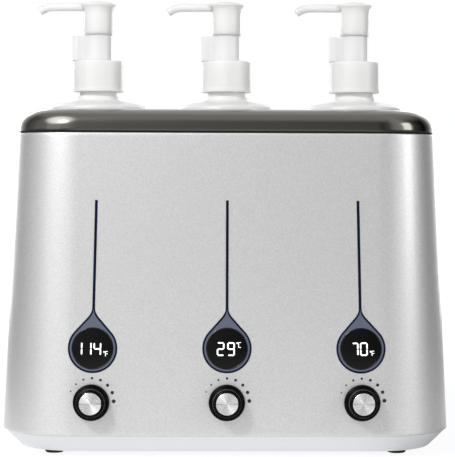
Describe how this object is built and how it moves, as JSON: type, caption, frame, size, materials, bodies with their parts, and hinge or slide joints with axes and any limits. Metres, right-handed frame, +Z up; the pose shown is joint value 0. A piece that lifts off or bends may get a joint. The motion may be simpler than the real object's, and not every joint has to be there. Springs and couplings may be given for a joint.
{
  "type": "massage oil warmer",
  "caption": "Tapered oval case that warms a row of massage oil pump bottles in heated cups, with a drop-shaped display and a rotary knob for each bottle.",
  "frame": {"origin": "on the table under the middle of the part's bounding box", "axes": "+X to the right and +Z up as a person in front of the controls sees it; the controls face -Y"},
  "size_m": [0.309, 0.1432, 0.3125],
  "materials": {
    "silver_paint": "metallic silver paint on moulded plastic",
    "dark_chrome": "dark chrome plating on moulded plastic",
    "white_plastic": "smooth moulded",
    "black_rubber": "moulded",
    "steel": "zinc plated",
    "cup_aluminium": "drawn, satin",
    "silicone": "moulded silicone",
    "heater_silicone": "silicone heating film",
    "sensor_metal": "turned",
    "board": "printed circuit board",
    "slate_plastic": "moulded",
    "window_black": "polished tinted acrylic",
    "module_black": "moulded",
    "component_grey": "moulded",
    "inlet_black": "moulded",
    "knob_black": "ribbed, satin",
    "knob_aluminium": "spun",
    "bottle_plastic": "translucent blow-moulded",
    "pump_white": "moulded",
    "clip_plastic": "translucent, moulded"
  },
  "bodies": {
    "case": {"housing_shell": "silver_paint", "top_cap": "dark_chrome", "base_tray": "white_plastic", "rubber_feet": "black_rubber", "base_screws": "steel", "heating_cup_left": "cup_aluminium", "heating_cup_middle": "cup_aluminium", "heating_cup_right": "cup_aluminium", "cup_gaskets": "silicone", "heater_bands": "heater_silicone", "temperature_sensors": "sensor_metal", "cup_clamps": "steel", "clamp_screws": "steel", "display_bezel_left": "slate_plastic", "display_bezel_middle": "slate_plastic", "display_bezel_right": "slate_plastic", "display_window_left": "window_black", "display_window_middle": "window_black", "display_window_right": "window_black", "display_modules": "module_black", "control_board": "board", "potentiometers": "component_grey", "shaft_nuts": "steel", "board_screws": "steel", "power_board": "board", "power_inlet": "inlet_black"},
    "bottle_left": {"bottle_left": "bottle_plastic"},
    "pump_left": {"pump_chamber_left": "pump_white", "dip_tube_left": "clip_plastic"},
    "collar_left": {"pump_collar_left": "pump_white"},
    "plunger_left": {"pump_stem_left": "pump_white"},
    "head_left": {"pump_head_left": "pump_white"},
    "clip_left": {"lock_clip_left": "clip_plastic"},
    "knob_left": {"knob_body_left": "knob_black", "knob_cap_left": "knob_aluminium", "knob_shaft_left": "knob_aluminium"},
    "bottle_middle": {"bottle_middle": "bottle_plastic"},
    "pump_middle": {"pump_chamber_middle": "pump_white", "dip_tube_middle": "clip_plastic"},
    "collar_middle": {"pump_collar_middle": "pump_white"},
    "plunger_middle": {"pump_stem_middle": "pump_white"},
    "head_middle": {"pump_head_middle": "pump_white"},
    "clip_middle": {"lock_clip_middle": "clip_plastic"},
    "knob_middle": {"knob_body_middle": "knob_black", "knob_cap_middle": "knob_aluminium", "knob_shaft_middle": "knob_aluminium"},
    "bottle_right": {"bottle_right": "bottle_plastic"},
    "pump_right": {"pump_chamber_right": "pump_white", "dip_tube_right": "clip_plastic"},
    "collar_right": {"pump_collar_right": "pump_white"},
    "plunger_right": {"pump_stem_right": "pump_white"},
    "head_right": {"pump_head_right": "pump_white"},
    "clip_right": {"lock_clip_right": "clip_plastic"},
    "knob_right": {"knob_body_right": "knob_black", "knob_cap_right": "knob_aluminium", "knob_shaft_right": "knob_aluminium"}
  },
  "joints": [
    {"name": "bottle_lift_left", "type": "slide", "parent": "case", "child": "bottle_left", "axis": [0, 0, 1], "range_m": [0, 0.14]},
    {"name": "pump_rise_left", "type": "slide", "parent": "bottle_left", "child": "pump_left", "axis": [0, 0, 1], "range_m": [0, 0.0048]},
    {"name": "collar_turn_left", "type": "hinge", "parent": "pump_left", "child": "collar_left", "pos_m": [-0.09, 0.00661, 0.2704], "axis": [0, 0, 1], "range_deg": [0, 540]},
    {"name": "pump_press_left", "type": "slide", "parent": "pump_left", "child": "plunger_left", "axis": [0, 0, -1], "range_m": [0, 0.0007], "stiffness_N_per_m": 100, "springref_m": -0.005},
    {"name": "head_swivel_left", "type": "hinge", "parent": "plunger_left", "child": "head_left", "pos_m": [-0.09, 0.00661, 0.2896], "axis": [0, 0, 1], "continuous": true},
    {"name": "clip_pull_left", "type": "slide", "parent": "pump_left", "child": "clip_left", "axis": [-1, 0, 0], "range_m": [0, 0.032]},
    {"name": "knob_turn_left", "type": "hinge", "parent": "case", "child": "knob_left", "pos_m": [-0.09079, -0.05726, 0.03835], "axis": [0, 0.9987, -0.0501], "range_deg": [0, 157]},
    {"name": "bottle_lift_middle", "type": "slide", "parent": "case", "child": "bottle_middle", "axis": [0, 0, 1], "range_m": [0, 0.14]},
    {"name": "pump_rise_middle", "type": "slide", "parent": "bottle_middle", "child": "pump_middle", "axis": [0, 0, 1], "range_m": [0, 0.0048]},
    {"name": "collar_turn_middle", "type": "hinge", "parent": "pump_middle", "child": "collar_middle", "pos_m": [0, 0.00661, 0.2704], "axis": [0, 0, 1], "range_deg": [0, 540]},
    {"name": "pump_press_middle", "type": "slide", "parent": "pump_middle", "child": "plunger_middle", "axis": [0, 0, -1], "range_m": [0, 0.0007], "stiffness_N_per_m": 100, "springref_m": -0.005},
    {"name": "head_swivel_middle", "type": "hinge", "parent": "plunger_middle", "child": "head_middle", "pos_m": [0, 0.00661, 0.2896], "axis": [0, 0, 1], "continuous": true},
    {"name": "clip_pull_middle", "type": "slide", "parent": "pump_middle", "child": "clip_middle", "axis": [-1, 0, 0], "range_m": [0, 0.032]},
    {"name": "knob_turn_middle", "type": "hinge", "parent": "case", "child": "knob_middle", "pos_m": [0, -0.05726, 0.03834], "axis": [0, 0.9987, -0.0501], "range_deg": [0, 157]},
    {"name": "bottle_lift_right", "type": "slide", "parent": "case", "child": "bottle_right", "axis": [0, 0, 1], "range_m": [0, 0.14]},
    {"name": "pump_rise_right", "type": "slide", "parent": "bottle_right", "child": "pump_right", "axis": [0, 0, 1], "range_m": [0, 0.0048]},
    {"name": "collar_turn_right", "type": "hinge", "parent": "pump_right", "child": "collar_right", "pos_m": [0.09, 0.00661, 0.2704], "axis": [0, 0, 1], "range_deg": [0, 540]},
    {"name": "pump_press_right", "type": "slide", "parent": "pump_right", "child": "plunger_right", "axis": [0, 0, -1], "range_m": [0, 0.0007], "stiffness_N_per_m": 100, "springref_m": -0.005},
    {"name": "head_swivel_right", "type": "hinge", "parent": "plunger_right", "child": "head_right", "pos_m": [0.09, 0.00661, 0.2896], "axis": [0, 0, 1], "continuous": true},
    {"name": "clip_pull_right", "type": "slide", "parent": "pump_right", "child": "clip_right", "axis": [-1, 0, 0], "range_m": [0, 0.032]},
    {"name": "knob_turn_right", "type": "hinge", "parent": "case", "child": "knob_right", "pos_m": [0.09079, -0.05726, 0.03835], "axis": [0, 0.9987, -0.0501], "range_deg": [0, 157]}
  ],
  "couplings": [
    {"joint": "collar_turn_left", "follows": "pump_rise_left", "rad_per_m": 1963.5},
    {"joint": "collar_turn_middle", "follows": "pump_rise_middle", "rad_per_m": 1963.5},
    {"joint": "collar_turn_right", "follows": "pump_rise_right", "rad_per_m": 1963.5}
  ]
}
